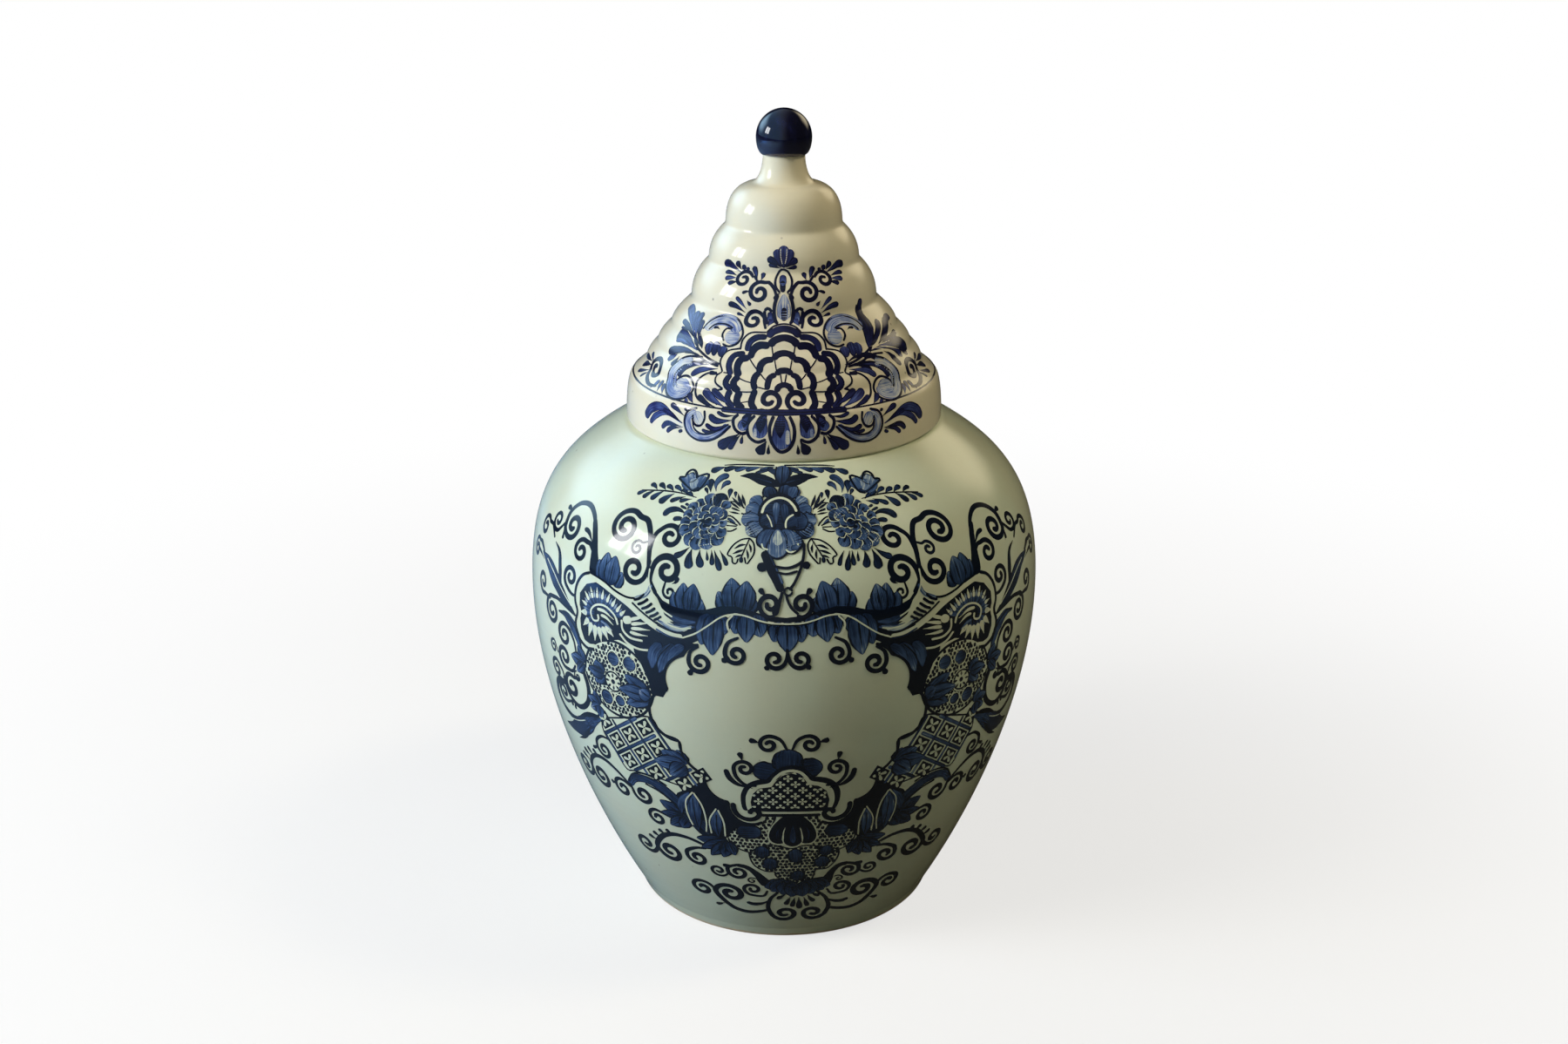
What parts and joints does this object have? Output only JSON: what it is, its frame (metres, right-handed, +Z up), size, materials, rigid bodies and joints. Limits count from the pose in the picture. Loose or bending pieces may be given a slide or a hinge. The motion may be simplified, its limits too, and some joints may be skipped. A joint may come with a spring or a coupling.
{
  "type": "lidded vase",
  "caption": "High-shouldered glazed jar with a stepped, cap-shaped lid that lifts off by its ball knob; painted scrolls and flowers round a bare panel. For storage or display.",
  "frame": {"origin": "centre of the foot ring's standing face, on the surface that the jar stands on", "axes": "+Z up along the jar's axis, -Y towards the front of the painting"},
  "size_m": [0.219, 0.219, 0.3451],
  "materials": {
    "jar_glaze": "glossy pale celadon tin glaze, with blue painting under the gloss",
    "lid_glaze": "glossy cream tin glaze, with blue painting under the gloss",
    "cobalt_glaze": "glossy dark cobalt blue, thicker where strokes end",
    "bare_clay": "unglazed fired clay, matt and slightly gritty"
  },
  "bodies": {
    "jar": {"jar_body": "jar_glaze", "foot_ring": "bare_clay", "neck_collar": "jar_glaze"},
    "lid": {"lid_shell": "lid_glaze", "lid_knob": "cobalt_glaze"}
  },
  "joints": [
    {"name": "lid_lift", "type": "slide", "parent": "jar", "child": "lid", "axis": [0, 0, 1], "range_m": [0, 0.06]}
  ]
}
